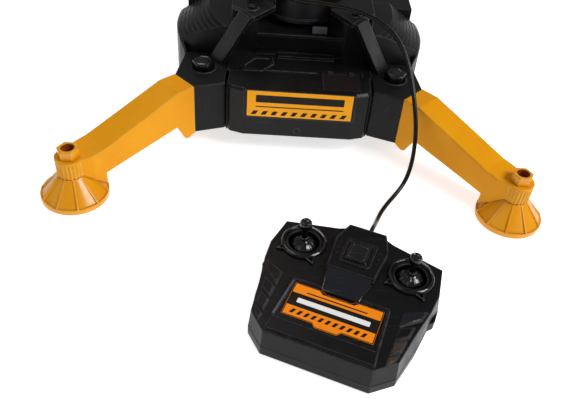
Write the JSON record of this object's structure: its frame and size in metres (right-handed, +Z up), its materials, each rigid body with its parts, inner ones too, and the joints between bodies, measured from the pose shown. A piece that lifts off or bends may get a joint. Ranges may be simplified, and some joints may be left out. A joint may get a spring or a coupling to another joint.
{
  "type": "toy tower crane",
  "caption": "Toy tower crane: lattice mast and jib on a geared turntable, black base with splayed yellow outriggers and conical feet, hook on a trolley, wired hand controller with two sticks.",
  "frame": {"origin": "where the slewing axis meets the floor, level with the feet's rims", "axes": "+Z up, -Y towards the front with the hand controller, +X to the right seen from the front; the jib points to +Y at rest"},
  "size_m": [0.5038, 0.9899, 1.28],
  "materials": {
    "base_black": "satin moulded plastic, dark grey to black",
    "bolt_black": "glossy black moulded bolt and screw heads",
    "leg_yellow": "yellow-orange moulded plastic, slight gloss",
    "foot_yellow": "yellow-orange moulded plastic, slight gloss",
    "lattice_yellow": "yellow-orange moulded plastic, slight gloss",
    "housing_black": "satin moulded plastic, dark grey to black",
    "cab_yellow": "yellow-orange moulded plastic, slight gloss",
    "ballast_grey": "matte grey plastic",
    "drum_white": "natural white gear plastic",
    "motor_steel": "plated motor can",
    "rod_steel": "bright steel rod",
    "rope_cord": "thin braided line",
    "tx_black": "satin black moulded plastic",
    "tx_gloss": "glossy black plastic",
    "label_orange": null,
    "cell_wrap": "plain dark cell wrap, steel ends",
    "board_green": "green circuit board",
    "cable_black": "black flexible sheath"
  },
  "bodies": {
    "base": {"base_tray": "base_black", "base_deck": "base_black", "front_console": "base_black", "side_cover_left": "base_black", "side_cover_right": "base_black", "rear_housing": "base_black", "upper_platform": "base_black", "brace_struts": "base_black", "slew_bearing": "base_black", "corner_block_front_left": "base_black", "corner_block_front_right": "base_black", "corner_block_rear_left": "base_black", "corner_block_rear_right": "base_black", "base_fasteners": "bolt_black", "outrigger_front_left": "leg_yellow", "outrigger_front_right": "leg_yellow", "outrigger_rear_left": "leg_yellow", "outrigger_rear_right": "leg_yellow", "slew_motor": "motor_steel", "tx_lower_shell": "tx_black", "tx_upper_shell": "tx_black", "tx_battery_cover": "tx_black", "tx_label": "label_orange", "tx_cells": "cell_wrap", "tx_board": "board_green", "cord": "cable_black", "cord_gland": "cable_black", "tx_strain_relief": "cable_black"},
    "hatch": {"console_hatch": "base_black"},
    "foot_front_left": {"foot_front_left": "foot_yellow"},
    "foot_front_right": {"foot_front_right": "foot_yellow"},
    "foot_rear_left": {"foot_rear_left": "foot_yellow"},
    "foot_rear_right": {"foot_rear_right": "foot_yellow"},
    "tower": {"turntable": "base_black", "mast_lower": "lattice_yellow", "mast_middle": "lattice_yellow", "mast_upper": "lattice_yellow", "machinery_housing": "housing_black", "winch_motors": "motor_steel", "operator_cab": "cab_yellow", "jib": "lattice_yellow", "counter_jib": "lattice_yellow", "counterweights": "ballast_grey", "apex_frame": "lattice_yellow", "pendants": "rod_steel", "jib_lines": "rope_cord"},
    "slew_pinion": {"slew_pinion": "drum_white"},
    "trolley": {"trolley": "lattice_yellow"},
    "trolley_drum": {"trolley_drum": "drum_white"},
    "hook_block": {"hook_block": "lattice_yellow", "hoist_rope": "rope_cord"},
    "hoist_drum": {"hoist_drum": "drum_white"},
    "hook_sheave": {"hook_sheave": "drum_white"},
    "hook": {"hook": "rod_steel"},
    "tx_gimbal_left": {"tx_gimbal_left": "tx_black"},
    "tx_stick_left": {"tx_stick_left": "tx_gloss"},
    "tx_gimbal_right": {"tx_gimbal_right": "tx_black"},
    "tx_stick_right": {"tx_stick_right": "tx_gloss"},
    "tx_button": {"tx_button": "tx_gloss"}
  },
  "joints": [
    {"name": "hatch_hinge", "type": "hinge", "parent": "base", "child": "hatch", "pos_m": [0.04425, -0.0897, 0.0809], "axis": [-1, 0, 0], "range_deg": [0, 95]},
    {"name": "foot_swivel_front_left", "type": "hinge", "parent": "base", "child": "foot_front_left", "pos_m": [-0.21894, -0.21424, 0.04], "axis": [0, 0, 1], "continuous": true},
    {"name": "foot_swivel_front_right", "type": "hinge", "parent": "base", "child": "foot_front_right", "pos_m": [0.21894, -0.21424, 0.04], "axis": [0, 0, 1], "continuous": true},
    {"name": "foot_swivel_rear_left", "type": "hinge", "parent": "base", "child": "foot_rear_left", "pos_m": [-0.13491, 0.26403, 0.04], "axis": [0, 0, 1], "continuous": true},
    {"name": "foot_swivel_rear_right", "type": "hinge", "parent": "base", "child": "foot_rear_right", "pos_m": [0.13491, 0.26403, 0.04], "axis": [0, 0, 1], "continuous": true},
    {"name": "slew", "type": "hinge", "parent": "base", "child": "tower", "pos_m": [0, 0, 0.11], "axis": [0, 0, 1], "range_deg": [-175, 175]},
    {"name": "pinion_spin", "type": "hinge", "parent": "base", "child": "slew_pinion", "pos_m": [0, 0.042, 0.11], "axis": [0, 0, 1], "range_deg": [-745, 745]},
    {"name": "trolley_travel", "type": "slide", "parent": "tower", "child": "trolley", "axis": [0, 1, 0], "range_m": [-0.22, 0.23]},
    {"name": "trolley_drum_spin", "type": "hinge", "parent": "tower", "child": "trolley_drum", "pos_m": [0, -0.128, 1.114], "axis": [1, 0, 0], "range_deg": [-1580, 1650]},
    {"name": "hoist", "type": "slide", "parent": "trolley", "child": "hook_block", "axis": [0, 0, 1], "range_m": [-0.49, 0.33], "deforming": ["hoist_rope"]},
    {"name": "hoist_drum_spin", "type": "hinge", "parent": "tower", "child": "hoist_drum", "pos_m": [0, -0.088, 1.114], "axis": [1, 0, 0], "range_deg": [-7020, 4730]},
    {"name": "sheave_spin", "type": "hinge", "parent": "hook_block", "child": "hook_sheave", "pos_m": [0, 0.3, 0.7], "axis": [1, 0, 0], "range_deg": [-4015, 2705]},
    {"name": "hook_swivel", "type": "hinge", "parent": "hook_block", "child": "hook", "pos_m": [0, 0.3, 0.68], "axis": [0, 0, 1], "continuous": true},
    {"name": "stick_left_forward", "type": "hinge", "parent": "base", "child": "tx_gimbal_left", "pos_m": [0.0059, -0.29785, 0.022], "axis": [0.9336, -0.3584, 0], "range_deg": [-15, 15], "stiffness_Nm_per_rad": 0.05},
    {"name": "stick_left_sideways", "type": "hinge", "parent": "tx_gimbal_left", "child": "tx_stick_left", "pos_m": [0.0059, -0.29785, 0.022], "axis": [0.3584, 0.9336, 0], "range_deg": [-15, 15], "stiffness_Nm_per_rad": 0.05},
    {"name": "stick_right_forward", "type": "hinge", "parent": "base", "child": "tx_gimbal_right", "pos_m": [0.09739, -0.33297, 0.022], "axis": [0.9336, -0.3584, 0], "range_deg": [-15, 15], "stiffness_Nm_per_rad": 0.05},
    {"name": "stick_right_sideways", "type": "hinge", "parent": "tx_gimbal_right", "child": "tx_stick_right", "pos_m": [0.09739, -0.33297, 0.022], "axis": [0.3584, 0.9336, 0], "range_deg": [-15, 15], "stiffness_Nm_per_rad": 0.05},
    {"name": "button_press", "type": "slide", "parent": "base", "child": "tx_button", "axis": [0, 0, -1], "range_m": [0, 0.0015], "stiffness_N_per_m": 300, "springref_m": -0.002}
  ],
  "couplings": [
    {"joint": "pinion_spin", "follows": "slew", "ratio": -4.25},
    {"joint": "trolley_drum_spin", "follows": "trolley_travel", "rad_per_m": 125},
    {"joint": "hoist_drum_spin", "follows": "hoist", "rad_per_m": 250},
    {"joint": "sheave_spin", "follows": "hoist", "rad_per_m": 142.86}
  ]
}
